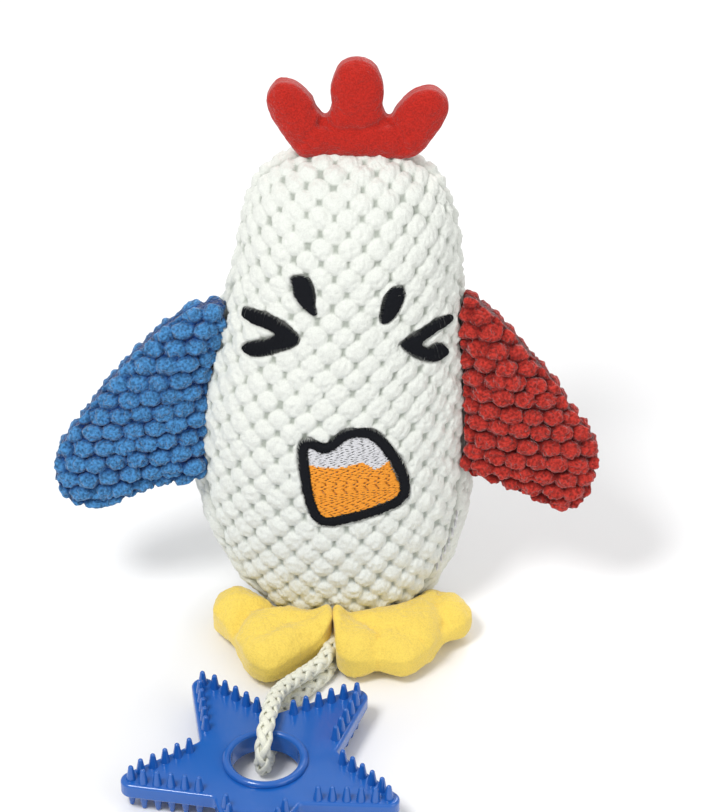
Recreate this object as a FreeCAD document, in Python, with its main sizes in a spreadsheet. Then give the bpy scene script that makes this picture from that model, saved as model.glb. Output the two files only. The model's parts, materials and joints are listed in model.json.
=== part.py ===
"""Stuffed plush chicken toy with a rope loop and a star chew ring, sitting on its feet.

Millimetres, +X to the toy's left hand side as seen from the front, +Y to the back, +Z up.
The origin is the middle of the flattened bottom that the toy sits on.
"""
import FreeCAD, Part
import math
import os

from FreeCAD import Placement, Rotation, Vector

doc = FreeCAD.newDocument("PlushChicken")
sheet = doc.addObject("Spreadsheet::Sheet", "Sizes")
sheet_rows = 0


def size(alias, value):
    """Stores one driving size in the sheet under its alias."""
    global sheet_rows
    sheet_rows += 1
    sheet.set("A%d" % sheet_rows, alias)
    sheet.set("B%d" % sheet_rows, "%g" % value)
    sheet.setAlias("B%d" % sheet_rows, alias)


def value_of(alias):
    """Reads one driving size back from the sheet."""
    return float(getattr(sheet, alias))


# ---------------------------------------------------------------- driving dimensions
SIZES = {
    # body
    "body_height": 194.5, "body_width": 112.0, "body_depth": 80.0, "body_lean_deg": 8.0,
    "panel_skin": 2.0,
    # side seam plane, from the front of the bottom up to the crown
    "seam_foot_y": -22.0, "seam_foot_z": 6.0, "seam_lean_deg": 14.9,
    # embroidery
    "thread_height": 1.2, "stroke_width": 6.4,
    # padded limbs
    "comb_thickness": 13.0, "wing_thickness": 20.0, "foot_thickness": 16.0,
    # rope and its tunnel between the feet
    "rope_diameter": 6.0, "tunnel_width": 7.4, "tunnel_height": 13.0, "knot_diameter": 13.0,
    # star chew ring
    "star_tip_radius": 56.0, "star_notch_radius": 28.0, "star_thickness": 6.5, "star_turn_deg": -6.5,
    "star_x": -25.0, "star_y": -119.0, "nub_height": 6.4, "nub_radius": 1.9, "nub_spacing": 5.4,
    "ring_outer_radius": 16.2, "ring_inner_radius": 13.3, "ring_rise": 1.2, "parting_ridge": 0.5,
    # squeaker
    "squeaker_radius": 20.0, "squeaker_height": 24.0, "squeaker_wall": 1.2, "squeaker_z": 74.0,
    "squeaker_travel": 8.0, "reed_radius": 5.0, "reed_height": 9.0,
}
for alias, value in SIZES.items():
    size(alias, value)

# Each body section: height, half width, half depth and side shift, as parts of the body's own sizes.
BODY_SECTIONS = [
    (0.000, 0.465, 0.550, 0.034), (0.042, 0.640, 0.750, 0.034),
    (0.105, 0.800, 0.888, 0.028), (0.220, 0.950, 0.983, 0.013),
    (0.357, 1.000, 1.000, 0.000), (0.493, 0.973, 0.983, 0.004),
    (0.619, 0.884, 0.913, 0.031), (0.756, 0.795, 0.825, 0.054),
    (0.866, 0.741, 0.713, 0.063), (0.945, 0.652, 0.550, 0.067),
    (0.984, 0.510, 0.350, 0.067), (1.000, 0.375, 0.188, 0.067),
]
for number, (height, width, depth, shift) in enumerate(BODY_SECTIONS):
    size("section_height_%d" % number, height)
    size("section_width_%d" % number, width)
    size("section_depth_%d" % number, depth)
    size("section_shift_%d" % number, shift)
doc.recompute()

LEAN = math.radians(value_of("body_lean_deg"))
SEAM = math.radians(value_of("seam_lean_deg"))
SEAM_FOOT = Vector(0, value_of("seam_foot_y"), value_of("seam_foot_z"))
SEAM_UP = Vector(0, math.sin(SEAM), math.cos(SEAM))
SEAM_FRONT = Vector(0, -math.cos(SEAM), math.sin(SEAM))
SKIN = value_of("panel_skin")


def seam_place(height=0.0, forward=0.0):
    """The placement of a drawing in the seam plane: X across, Y up along the seam, Z to the front."""
    base = SEAM_FOOT + SEAM_UP * height + SEAM_FRONT * forward
    return Placement(base, Rotation(Vector(1, 0, 0), 90 - math.degrees(SEAM)))


def bind(target, **expressions):
    """Binds properties of a document object to the sheet."""
    for prop, expression in expressions.items():
        target.setExpression(prop.replace("__", "."), expression)
    return target


def named(feature, label):
    """Gives a finished sub-part the label that names its file."""
    feature.Label = label
    finished.append(feature)
    return feature


finished = []


def cut(name, base, tool):
    result = doc.addObject("Part::Cut", name)
    result.Base = base
    result.Tool = tool
    return result


def common(name, base, tool):
    result = doc.addObject("Part::Common", name)
    result.Base = base
    result.Tool = tool
    return result


def fuse(name, shapes):
    result = doc.addObject("Part::MultiFuse", name)
    result.Shapes = shapes
    return result


def outline_sketch(name, points, placement, smooth=True):
    """A closed outline through a few points, drawn as one spline or as straight lines."""
    sketch = doc.addObject("Sketcher::SketchObject", name)
    sketch.Placement = placement
    corners = [Vector(x, y, 0) for x, y in points]
    if smooth:
        curve = Part.BSplineCurve()
        curve.interpolate(corners, PeriodicFlag=True)
        sketch.addGeometry(curve, False)
    else:
        for start, end in zip(corners, corners[1:] + corners[:1]):
            sketch.addGeometry(Part.LineSegment(start, end), False)
    return sketch


# ---------------------------------------------------------------- body
def body_loft(name, inset):
    """The egg-shaped body, drawn in by inset on every side, or out where inset is negative."""
    rings = []
    last = len(BODY_SECTIONS) - 1
    for number in range(last + 1):
        lift = "Sizes.body_height * Sizes.section_height_%d" % number
        if number == 0:
            lift = "%g" % inset
        if number == last:
            lift += " - %g" % inset
        ring = doc.addObject("Part::Ellipse", "%s_ring_%d" % (name, number))
        bind(ring,
             MajorRadius="Sizes.body_width / 2 * Sizes.section_width_%d - %g" % (number, inset),
             MinorRadius="Sizes.body_depth / 2 * Sizes.section_depth_%d - %g" % (number, inset * 0.98),
             Placement__Base__x="Sizes.body_width * Sizes.section_shift_%d" % number,
             Placement__Base__y="(%s) * tan(Sizes.body_lean_deg * 1deg)" % lift,
             Placement__Base__z=lift)
        rings.append(ring)
    loft = doc.addObject("Part::Loft", name)
    loft.Sections = rings
    loft.Solid = True
    return loft


def front_half(name):
    """A block that holds everything in front of the side seam."""
    block = doc.addObject("Part::Box", name)
    bind(block, Length="Sizes.body_width * 3", Width="Sizes.body_height * 2", Height="Sizes.body_depth * 2")
    corner = SEAM_FOOT - SEAM_UP * value_of("body_height") * 0.5
    corner.x = -value_of("body_width") * 1.5
    block.Placement = Placement(corner, Rotation(Vector(1, 0, 0), 90 - math.degrees(SEAM)))
    return block


def knot_shape(name, grow):
    """The knot that keeps the rope's sewn ends inside the body."""
    knot = doc.addObject("Part::Sphere", name)
    bind(knot, Radius="Sizes.knot_diameter / 2 + %g" % grow)
    knot.Placement = Placement(Vector(0, -14.0, 12.0), Rotation())
    return knot


def squeaker_can(name, grow):
    can = doc.addObject("Part::Cylinder", name)
    bind(can, Radius="Sizes.squeaker_radius + %g" % grow, Height="Sizes.squeaker_height + %g" % (2 * grow),
         Placement__Base__y="Sizes.squeaker_z * tan(Sizes.body_lean_deg * 1deg)",
         Placement__Base__z="Sizes.squeaker_z - %g" % grow)
    return can


def make_body():
    outer = body_loft("body_outer", 0.0)
    inner = body_loft("body_inner", SKIN)
    half = front_half("body_front_block")
    shell = cut("body_shell", outer, inner)
    named(common("body_front", shell, half), "body_front_panel")
    named(cut("body_back", shell, half), "body_back_panel")
    hollow = fuse("body_hollow", [squeaker_can("squeaker_room", 0.6), knot_shape("knot_room", 0.0)])
    named(cut("body_fill", inner, hollow), "body_stuffing")
    named(knot_shape("knot_ball", 0.0), "rope_anchor_knot")
    return outer


def make_squeaker():
    """A bellows squeaker: base cup, folded wall, sliding lid, reed housing and reed."""
    base_y = "Sizes.squeaker_z * tan(Sizes.body_lean_deg * 1deg)"

    def disc(name, radius, height, lift):
        part = doc.addObject("Part::Cylinder", name)
        bind(part, Radius=radius, Height=height, Placement__Base__y=base_y,
             Placement__Base__z="Sizes.squeaker_z + %s" % lift)
        return part

    base = disc("squeaker_base_disc", "Sizes.squeaker_radius", "Sizes.squeaker_wall", "0")
    hole = disc("squeaker_base_hole", "Sizes.reed_radius + 0.1", "Sizes.squeaker_wall * 3",
                "(-Sizes.squeaker_wall)")
    named(cut("squeaker_base_part", base, hole), "squeaker_base")
    lid_z = "(Sizes.squeaker_height - Sizes.squeaker_wall)"
    named(disc("squeaker_lid_disc", "Sizes.squeaker_radius", "Sizes.squeaker_wall", lid_z), "squeaker_lid")
    fold_count = 3
    bottom = value_of("squeaker_wall") + 0.05
    top = value_of("squeaker_height") - value_of("squeaker_wall") - 0.05
    step = (top - bottom) / (2 * fold_count)
    radius = value_of("squeaker_radius") - 0.3
    waist = radius - 3.5
    outside = [Vector(radius if i % 2 else waist, 0, bottom + i * step)
               for i in range(2 * fold_count + 1)]
    inside = [Vector(p.x - value_of("squeaker_wall"), 0, p.z) for p in reversed(outside)]
    profile = Part.Face(Part.makePolygon(outside + inside + outside[:1]))
    bellows = doc.addObject("Part::Feature", "squeaker_wall_part")
    bellows.Shape = profile.revolve(Vector(0, 0, 0), Vector(0, 0, 1), 360)
    z_place = value_of("squeaker_z")
    bellows.Placement = Placement(Vector(0, z_place * math.tan(LEAN), z_place), Rotation())
    named(bellows, "squeaker_bellows")
    rim = disc("reed_housing_rim", "Sizes.reed_radius", "Sizes.reed_height", "0")
    bore = disc("reed_housing_bore", "Sizes.reed_radius - 1.2", "Sizes.reed_height * 2", "(-1)")
    named(cut("reed_housing_part", rim, bore), "squeaker_reed_housing")
    reed = doc.addObject("Part::Box", "reed_strip")
    bind(reed, Length="2 * Sizes.reed_radius - 2.6", Width="2.4", Height="0.4",
         Placement__Base__x="-(Sizes.reed_radius - 1.3)", Placement__Base__y=base_y + " - 1.2",
         Placement__Base__z="Sizes.squeaker_z + Sizes.reed_height * 0.6")
    named(reed, "squeaker_reed")


# ---------------------------------------------------------------- padded limbs
def inset(points, distance):
    """A counter-clockwise outline drawn in by a distance along its own normals."""
    moved = []
    count = len(points)
    for number, (x, y) in enumerate(points):
        x0, y0 = points[number - 1]
        x1, y1 = points[(number + 1) % count]
        length = math.hypot(x1 - x0, y1 - y0)
        moved.append((x - (y1 - y0) / length * distance, y + (x1 - x0) / length * distance))
    return moved


def softened(points, steps=3):
    """More points on a smooth closed curve through the given ones."""
    curve = []
    count = len(points)
    for number in range(count):
        p0, p1, p2, p3 = [Vector(*points[(number + k) % count], 0) for k in (-1, 0, 1, 2)]
        for step in range(steps):
            t = step / steps
            spot = (p1 * 2 + (p2 - p0) * t + (p0 * 2 - p1 * 5 + p2 * 4 - p3) * t ** 2
                    + (p1 * 3 - p0 - p2 * 3 + p3) * t ** 3) * 0.5
            curve.append((spot.x, spot.y))
    return curve


def pillow(name, points, thickness, slices, place):
    """A padded solid lofted through slices of one outline; each slice is (depth, how far drawn in)."""
    normal = place.Rotation.multVec(Vector(0, 0, 1))
    drawn = []
    for number, (depth, drawn_in) in enumerate(slices):
        level = Placement(place.Base + normal * (depth * thickness), place.Rotation)
        outline = softened(inset(points, drawn_in))
        drawn.append(outline_sketch("%s_slice_%d" % (name, number), outline, level, smooth=False))
    loft = doc.addObject("Part::Loft", name)
    loft.Sections = drawn
    loft.Solid = True
    loft.Ruled = True
    return loft


def padded_part(prefix, points, thickness, slices, place, splitter, names, slot=None, core_slot=None):
    """Two sewn panels round a stuffing core, split along the seam; a slot leaves room for the rope."""
    normal = place.Rotation.multVec(Vector(0, 0, 1))
    lifted = Placement(place.Base + normal * SKIN, place.Rotation)
    outer = pillow(prefix + "_full", points, thickness, slices, place)
    core = pillow(prefix + "_core", inset(points, SKIN), thickness - 2 * SKIN, slices, lifted)
    if slot is not None:
        outer = cut(prefix + "_slotted", outer, slot)
        core = cut(prefix + "_core_slotted", core, core_slot)
    shell = cut(prefix + "_shell", outer, core)
    named(common(prefix + "_first", shell, splitter), names[0])
    named(cut(prefix + "_second", shell, splitter), names[1])
    named(core, names[2])


# Slices of a padded piece: how deep, as a part of its thickness, and how far its outline draws in.
COMB_SLICES = [(0.0, 2.4), (0.16, 0.8), (0.5, 0.0), (0.84, 0.8), (1.0, 2.4)]
WING_SLICES = [(0.0, 5.0), (0.15, 2.2), (0.5, 0.0), (0.85, 2.2), (1.0, 5.0)]
FOOT_SLICES = [(0.0, 0.8), (0.3, 0.0), (0.7, 0.5), (1.0, 1.8)]
# Outlines on the seam plane are (across, height above the floor); those of the feet are (across, back).
COMB_OUTLINE = [
    (-15, 196.6), (-24, 206), (-24, 215), (-17, 220.3), (-9, 215), (-2.5, 207.5), (0, 220),
    (3, 228.7), (10, 231.5), (17, 228.7), (20.5, 220),
    (22, 207.5), (28, 212), (36.5, 218), (43, 215.5),
    (44.5, 208), (38.5, 201), (31.5, 196.6), (22, 197.9), (8, 198.2), (-6, 197.9),
]
BLUE_WING_OUTLINE = [
    (-60.5, 129.5), (-77.5, 118.3), (-91.2, 103.3), (-102, 89.1),
    (-109.2, 78.4), (-112.2, 65.6), (-107.4, 55.1), (-97.8, 50.8),
    (-85.6, 52.3), (-71, 58.2), (-55.2, 63.5), (-55.4, 80), (-53.7, 100), (-48.3, 118), (-45.2, 132),
]
RED_WING_OUTLINE = [
    (75.3, 122.2), (88.3, 105.9), (98.4, 90.6), (106.4, 79.6),
    (106.7, 65.8), (102.1, 54.4), (92, 48.6), (81, 52.6),
    (67.2, 59.5), (54.2, 66), (54.4, 80), (54.8, 100), (54.6, 117), (55.5, 135),
]
LEFT_FOOT_OUTLINE = [
    (-42.3, -7.9), (-49.5, -16), (-49, -27), (-43, -38), (-38, -49), (-33.5, -60), (-25, -65.5),
    (-16, -59.5), (-8, -51), (-1.9, -43), (-1.9, -33.5), (-12, -31.2), (-22.6, -26.6), (-33.9, -16.8),
]
RIGHT_FOOT_OUTLINE = [
    (1.9, -33.5), (1.9, -45), (2.0, -56), (8.5, -61.5), (18, -59.5), (29, -61.5), (38, -54),
    (45, -43.5), (55, -34.5), (57, -24), (53.5, -14), (47.5, -9.5), (40.6, -17.6),
    (31, -25.2), (21, -30), (11, -32.6),
]


def on_seam(points):
    """Turns heights above the floor into distances along the seam plane."""
    low = SEAM_FOOT.z
    return [(x, (z - low) / math.cos(SEAM)) for x, z in points]


def make_limbs():
    """The comb, the two wings and the two feet, each in its own body."""
    half = front_half("limb_front_block")

    comb_thickness = value_of("comb_thickness")
    padded_part("comb", on_seam(COMB_OUTLINE[::-1]), comb_thickness, COMB_SLICES,
                seam_place(0.0, -comb_thickness / 2), half,
                ("comb_front_panel", "comb_back_panel", "comb_stuffing"))
    wing_thickness = value_of("wing_thickness")
    for side, points in (("blue_wing", BLUE_WING_OUTLINE), ("red_wing", RED_WING_OUTLINE[::-1])):
        padded_part(side, on_seam(points), wing_thickness, WING_SLICES,
                    seam_place(0.0, -wing_thickness / 2), half,
                    (side + "_front_panel", side + "_back_panel", side + "_stuffing"))

    def slot_box(name, wider):
        box = doc.addObject("Part::Box", name)
        bind(box, Length="Sizes.tunnel_width + %g" % (2 * wider), Width="60",
             Height="Sizes.tunnel_height + %g" % wider, Placement__Base__y="-80",
             Placement__Base__x="-Sizes.tunnel_width / 2 - %g" % wider)
        return box

    tunnel = slot_box("rope_tunnel", 0.0)
    lined_tunnel = slot_box("rope_tunnel_lined", SKIN)
    sole_block = doc.addObject("Part::Box", "sole_block")
    bind(sole_block, Length="200", Width="200", Height="Sizes.foot_thickness * 0.2",
         Placement__Base__x="-100", Placement__Base__y="-120")

    for side, points in (("left_foot", LEFT_FOOT_OUTLINE), ("right_foot", RIGHT_FOOT_OUTLINE)):
        padded_part(side, points, value_of("foot_thickness"), FOOT_SLICES, Placement(), sole_block,
                    (side + "_sole", side + "_upper", side + "_stuffing"), tunnel, lined_tunnel)


# ---------------------------------------------------------------- embroidery
# Places are across and up on the front of the body; the thread layer follows the fabric's surface.
BROWS = {
    "brow_left": [
        (-15.5, 158), (-12, 159.5), (-8.2, 158), (-6.6, 151),
        (-5.6, 144), (-9.5, 146), (-14, 151.5),
    ],
    "brow_right": [
        (23.6, 153.5), (28, 156), (29.4, 151.5), (26, 144.5),
        (20.5, 140.5), (19, 142), (20.6, 148),
    ],
}
EYES = {
    "eye_left": [(-30.6, 138.0), (-15.0, 131.5), (-29.6, 126.0)],
    "eye_right": [(42.8, 133.4), (28.5, 126.0), (40.6, 121.8)],
}
BEAK_OUTLINE = [
    (-12.6, 91.9), (-11.9, 96.2), (-8.3, 96.7), (-1.7, 92.4),
    (4.9, 98.1), (12.5, 100.9), (19.1, 98.1), (26.7, 88.2),
    (30.9, 77.8), (31.4, 68.4), (27.6, 63.2), (13.4, 60),
    (1.6, 57.6), (-5, 59.5), (-9.8, 67.5), (-12.1, 80.7),
]
BEAK_INSIDE = [
    (-8.2, 90.5), (-6.9, 92.1), (-2.2, 88.2), (1.6, 89.6),
    (6.8, 94.8), (12.5, 96.7), (16.7, 94.6), (22.9, 86.3),
    (26.7, 77.4), (27, 70.3), (24.3, 66.8), (12.5, 64),
    (2.1, 61.8), (-2.2, 63.2), (-5.8, 69.4), (-7.8, 80.7),
]
FOAM_EDGE = [
    (-30, 83), (-2.7, 81.1), (7.7, 82.1), (13.4, 84.9), (19.1, 81.6),
    (25.7, 84.9), (45, 84.9), (45, 120), (-30, 120),
]
FACE_FRONT = -70.0


def face_place():
    return Placement(Vector(0, FACE_FRONT, 0), Rotation(Vector(1, 0, 0), 90))


def face_prism(name, points, smooth=True):
    """A prism through the front of the face, from an outline drawn across and up."""
    sketch = outline_sketch(name + "_outline", points, face_place(), smooth)
    prism = doc.addObject("Part::Extrusion", name + "_prism")
    prism.Base = sketch
    prism.Dir = Vector(0, 1, 0)
    prism.DirMode = "Custom"
    prism.LengthFwd = 75.0
    prism.Solid = True
    return prism


def stroke_prisms(name, path):
    """Round-ended strokes of even width along a path, as prisms through the front of the face."""
    pieces = []
    radius = value_of("stroke_width") / 2
    for number, (x, z) in enumerate(path):
        dot = doc.addObject("Part::Cylinder", "%s_dot_%d" % (name, number))
        bind(dot, Radius="Sizes.stroke_width / 2", Height="75")
        dot.Placement = Placement(Vector(x, FACE_FRONT, z), Rotation(Vector(1, 0, 0), -90))
        pieces.append(dot)
    for number, ((x1, z1), (x2, z2)) in enumerate(zip(path, path[1:])):
        angle = math.degrees(math.atan2(z2 - z1, x2 - x1))
        bar = doc.addObject("Part::Box", "%s_bar_%d" % (name, number))
        bind(bar, Height="Sizes.stroke_width", Width="75")
        bar.Length = math.hypot(x2 - x1, z2 - z1)
        turn = Rotation(Vector(0, 1, 0), -angle)
        bar.Placement = Placement(Vector(x1, FACE_FRONT, z1) + turn.multVec(Vector(0, 0, -radius)), turn)
        pieces.append(bar)
    return fuse(name + "_strokes", pieces)


def make_embroidery(outer):
    """Brows, eyes and the beak, as thread layers on the front panel."""
    thread = cut("thread_layer", body_loft("thread_outside", -value_of("thread_height")), outer)
    for name, points in BROWS.items():
        named(common(name + "_thread", thread, face_prism(name, points)), name)
    for name, path in EYES.items():
        named(common(name + "_thread", thread, stroke_prisms(name, path)), name)
    whole = face_prism("beak_whole", BEAK_OUTLINE)
    middle = face_prism("beak_middle", BEAK_INSIDE)
    foam = face_prism("beak_foam", FOAM_EDGE, smooth=False)
    named(common("beak_line_thread", thread, cut("beak_line", whole, middle)), "beak_outline")
    named(common("beak_foam_thread", thread, common("beak_foam_area", middle, foam)), "beak_white_fill")
    named(common("beak_orange_thread", thread, cut("beak_orange_area", middle, foam)), "beak_orange_fill")


# ---------------------------------------------------------------- rope
ROPE_ROUTE = [
    (0.0, -31.2, 9.2), (0.4, -42.0, 9.3), (-2.5, -55.5, 9.4), (-13.0, -67.0, 10.2), (-20.5, -78.0, 13.0),
    (-23.0, -91.0, 17.6), (-24.6, -103.0, 18.8), (-26.0, -114.6, 16.8), (-26.4, -115.2, 3.05),
    (-24.3, -103.2, 3.05), (-22.4, -90.6, 3.05), (-19.4, -78.4, 3.05), (-11.6, -67.2, 3.05),
    (-1.6, -55.8, 3.05), (0.3, -42.0, 3.05), (0.0, -28.6, 3.05),
]


def rope_path(route):
    """Straight runs joined by tangent arcs, each arc as large as its two runs allow."""
    points = [Vector(*p) for p in route]
    edges = []
    start = points[0]
    for before, corner, after in zip(points, points[1:], points[2:]):
        back = before - corner
        ahead = after - corner
        shorter = min(back.Length, ahead.Length)
        back.normalize()
        ahead.normalize()
        half_turn = (math.pi - back.getAngle(ahead)) / 2
        reach = 0.45 * shorter
        radius = reach / math.tan(half_turn)
        print("rope arc radius %.1f mm, turn %.0f degrees" % (radius, math.degrees(2 * half_turn)))
        enter = corner + back * reach
        leave = corner + ahead * reach
        bisector = back + ahead
        bisector.normalize()
        middle = corner + bisector * (radius / math.cos(half_turn) - radius)
        edges.append(Part.LineSegment(start, enter).toShape())
        edges.append(Part.Arc(enter, middle, leave).toShape())
        start = leave
    edges.append(Part.LineSegment(start, points[-1]).toShape())
    return Part.Wire(edges)


def make_rope():
    path = rope_path(ROPE_ROUTE)
    radius = value_of("rope_diameter") / 2
    start = Vector(*ROPE_ROUTE[0])
    heading = Vector(*ROPE_ROUTE[1]) - start
    section = Part.Wire(Part.makeCircle(radius, start, heading))
    rope = doc.addObject("Part::Feature", "rope_tube")
    rope.Shape = path.makePipeShell([section], True, False)
    expected = math.pi * radius ** 2 * path.Length
    print("rope length %.1f mm, volume %.0f of %.0f mm3" % (path.Length, rope.Shape.Volume, expected))
    named(rope, "rope_loop")


# ---------------------------------------------------------------- star chew ring
def origin_plane(body, role):
    return [plane for plane in body.Origin.OriginFeatures if plane.Role == role][0]


TIP_CORNER = 7.5  # how far the sharp corner of an arm stands beyond its rounded tip


def star_corners():
    corners = []
    for number in range(10):
        radius = value_of("star_tip_radius") if number % 2 == 0 else value_of("star_notch_radius")
        if number % 2 == 0:
            radius += TIP_CORNER
        angle = math.radians(54 + 36 * number + value_of("star_turn_deg"))
        corners.append(Vector(radius * math.cos(angle), radius * math.sin(angle), 0))
    return corners


def edges_where(shape, test):
    return ["Edge%d" % (i + 1) for i, edge in enumerate(shape.Edges) if test(edge)]


def star_plate():
    """The star-shaped plate: a sketch padded, with rounded arm tips, notches and rims."""
    body = doc.addObject("PartDesign::Body", "star_plate")
    sketch = body.newObject("Sketcher::SketchObject", "star_sketch")
    sketch.AttachmentSupport = [(origin_plane(body, "XY_Plane"), "")]
    sketch.MapMode = "FlatFace"
    corners = star_corners()
    for start, end in zip(corners, corners[1:] + corners[:1]):
        sketch.addGeometry(Part.LineSegment(start, end), False)
    pad = body.newObject("PartDesign::Pad", "star_pad")
    pad.Profile = sketch
    bind(pad, Length="Sizes.star_thickness")
    doc.recompute()
    limit = (value_of("star_tip_radius") + value_of("star_notch_radius")) / 2

    def upright(edge, outside):
        a, b = edge.Vertexes[0].Point, edge.Vertexes[-1].Point
        level = abs(a.x - b.x) + abs(a.y - b.y)
        return level < 0.01 and (math.hypot(a.x, a.y) > limit) == outside

    tips = body.newObject("PartDesign::Fillet", "star_tip_rounding")
    tips.Base = (pad, edges_where(pad.Shape, lambda e: upright(e, True)))
    tips.Radius = 4.6
    doc.recompute()
    notches = body.newObject("PartDesign::Fillet", "star_notch_rounding")
    notches.Base = (tips, edges_where(tips.Shape, lambda e: upright(e, False)))
    notches.Radius = 2.5
    doc.recompute()
    rims = body.newObject("PartDesign::Fillet", "star_rim_rounding")
    rims.Base = (notches, edges_where(notches.Shape, lambda e: abs(e.BoundBox.ZLength) < 0.01))
    rims.Radius = 1.3
    bind(body, Placement__Base__x="Sizes.star_x", Placement__Base__y="Sizes.star_y",
         Placement__Base__z="Sizes.nub_height")
    return body


def nub_places():
    """Both edges of each arm carry a row of nubs, and each tip has one more."""
    corners = star_corners()
    row_count = 5
    row_start = 16.0
    inset = 3.1
    tip_inset = 11.8
    places = []
    for number in range(0, 10, 2):
        tip = corners[number]
        outward = Vector(tip).normalize()
        places.append(tip - outward * tip_inset)
        for notch in (corners[number - 1], corners[(number + 1) % 10]):
            along = (notch - tip).normalize()
            side = Vector(-along.y, along.x, 0)
            if side.dot(tip) > 0:
                side = side * -1
            for step in range(row_count):
                places.append(tip + along * (row_start + value_of("nub_spacing") * step) + side * inset)
    return places


def star_nubs():
    """Tapered nubs with round ends on both faces of the star, as one group."""
    tall = value_of("nub_height")
    radius = value_of("nub_radius")
    round_end = 1.0
    sink = 0.6
    stem = Part.makeCone(radius + 0.1, round_end, tall - round_end + sink, Vector(0, 0, -sink))
    nub = stem.fuse(Part.makeSphere(round_end, Vector(0, 0, tall - round_end)))
    solids = []
    middle = Vector(value_of("star_x"), value_of("star_y"), 0)
    for place in nub_places():
        upper = nub.copy()
        upper.translate(middle + place + Vector(0, 0, tall + value_of("star_thickness")))
        lower = nub.mirror(Vector(0, 0, 0), Vector(0, 0, 1))
        lower.translate(middle + place + Vector(0, 0, tall))
        solids += [upper, lower]
    group = doc.addObject("Part::Feature", "star_nub_group")
    group.Shape = Part.makeCompound(solids)
    return group


def star_cylinder(name, radius, base_z, height):
    part = doc.addObject("Part::Cylinder", name)
    bind(part, Radius=radius, Height=height, Placement__Base__x="Sizes.star_x",
         Placement__Base__y="Sizes.star_y", Placement__Base__z=base_z)
    return part


def make_star():
    """One moulded piece: plate, centre ring with a raised rim, nubs on both faces, open hole."""
    rim = star_cylinder("star_ring", "Sizes.ring_outer_radius", "Sizes.nub_height",
                        "Sizes.star_thickness + Sizes.ring_rise")
    rim_edge = doc.addObject("Part::Fillet", "star_ring_round")
    rim_edge.Base = rim
    doc.recompute()
    top = [i + 1 for i, e in enumerate(rim.Shape.Edges)
           if e.BoundBox.ZLength < 0.01 and e.BoundBox.ZMin > value_of("nub_height") + 1]
    rim_edge.Edges = [(number, 1.0, 1.0) for number in top]
    whole = fuse("star_whole", [star_plate(), rim_edge, star_nubs()])
    hole = star_cylinder("star_hole", "Sizes.ring_inner_radius", "0", "Sizes.star_thickness * 5")
    named(cut("star_part", whole, hole), "star_chew")


def make_closing_stitches():
    """Hand stitches that close the stuffing opening low on the side seam, behind the red wing."""
    stitches = []
    count = 7
    for number in range(count):
        height = 26.0 + number * 3.6
        section = height / value_of("body_height")
        rows = [row for row in BODY_SECTIONS if row[0] <= section]
        low = rows[-1]
        high = BODY_SECTIONS[len(rows)]
        part = (section - low[0]) / (high[0] - low[0])
        half_width, half_depth, shift = [low[i] + (high[i] - low[i]) * part for i in (1, 2, 3)]
        centre_y = height * math.tan(LEAN)
        seam_y = SEAM_FOOT.y + (height - SEAM_FOOT.z) * math.tan(SEAM)
        across = (seam_y - centre_y) / (half_depth * value_of("body_depth") / 2)
        x = half_width * value_of("body_width") / 2 * math.sqrt(1 - across ** 2) + shift * value_of("body_width")
        bead = doc.addObject("Part::Cylinder", "stitch_%d" % number)
        bead.Radius = 0.45
        bead.Height = 5.0
        bead.Placement = Placement(Vector(x + 0.5, seam_y - 2.5, height), Rotation(Vector(1, 0, 0), -90))
        stitches.append(bead)
    group = doc.addObject("Part::Compound", "closing_stitch_group")
    group.Links = stitches
    doc.recompute()
    named(group, "closing_stitches")


def check_and_write():
    """Stops at the first object that failed, then writes one file for each sub-part."""
    doc.recompute()
    for item in doc.Objects:
        if "Invalid" in item.State or "Error" in item.State:
            raise RuntimeError("%s failed: %s" % (item.Label, item.State))
    os.makedirs("parts", exist_ok=True)
    for item in finished:
        shape = item.Shape
        if shape.isNull() or not shape.isValid() or not shape.Solids:
            raise RuntimeError("%s has no valid solid" % item.Label)
        shape.exportStep("parts/%s.step" % item.Label)
        box = shape.BoundBox
        print("%-24s %9.0f mm3  x %6.1f %6.1f  y %6.1f %6.1f  z %6.1f %6.1f" % (
            item.Label, shape.Volume, box.XMin, box.XMax, box.YMin, box.YMax, box.ZMin, box.ZMax))


body_surface = make_body()
make_squeaker()
make_limbs()
make_embroidery(body_surface)
make_rope()
make_star()
make_closing_stitches()
check_and_write()
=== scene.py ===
"""The looks of a stuffed plush chicken with a rope and a chew star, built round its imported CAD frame."""
import json
import math

import bpy
import numpy as np
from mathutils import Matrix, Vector


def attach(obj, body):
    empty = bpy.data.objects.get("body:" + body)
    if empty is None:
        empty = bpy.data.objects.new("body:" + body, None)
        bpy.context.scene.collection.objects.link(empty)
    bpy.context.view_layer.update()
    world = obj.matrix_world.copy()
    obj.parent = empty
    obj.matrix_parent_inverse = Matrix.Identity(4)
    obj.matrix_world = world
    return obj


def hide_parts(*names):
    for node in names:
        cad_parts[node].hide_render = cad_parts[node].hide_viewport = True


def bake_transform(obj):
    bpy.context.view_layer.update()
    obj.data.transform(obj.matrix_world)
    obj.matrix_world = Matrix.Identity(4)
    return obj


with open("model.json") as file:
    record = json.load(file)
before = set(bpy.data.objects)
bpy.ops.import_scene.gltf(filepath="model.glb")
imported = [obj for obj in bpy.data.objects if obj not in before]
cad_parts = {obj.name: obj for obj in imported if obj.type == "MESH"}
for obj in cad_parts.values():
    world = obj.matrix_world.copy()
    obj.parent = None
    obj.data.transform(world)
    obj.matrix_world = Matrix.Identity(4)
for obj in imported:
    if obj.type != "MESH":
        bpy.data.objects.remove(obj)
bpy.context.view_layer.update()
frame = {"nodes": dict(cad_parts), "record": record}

MM = 0.001

# ---------------------------------------------------------------- shape tables, in mm
BODY_HEIGHT = 194.5
BODY_HALF_WIDTH = 56.0
BODY_HALF_DEPTH = 40.0
BODY_LEAN = math.tan(math.radians(8))
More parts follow.
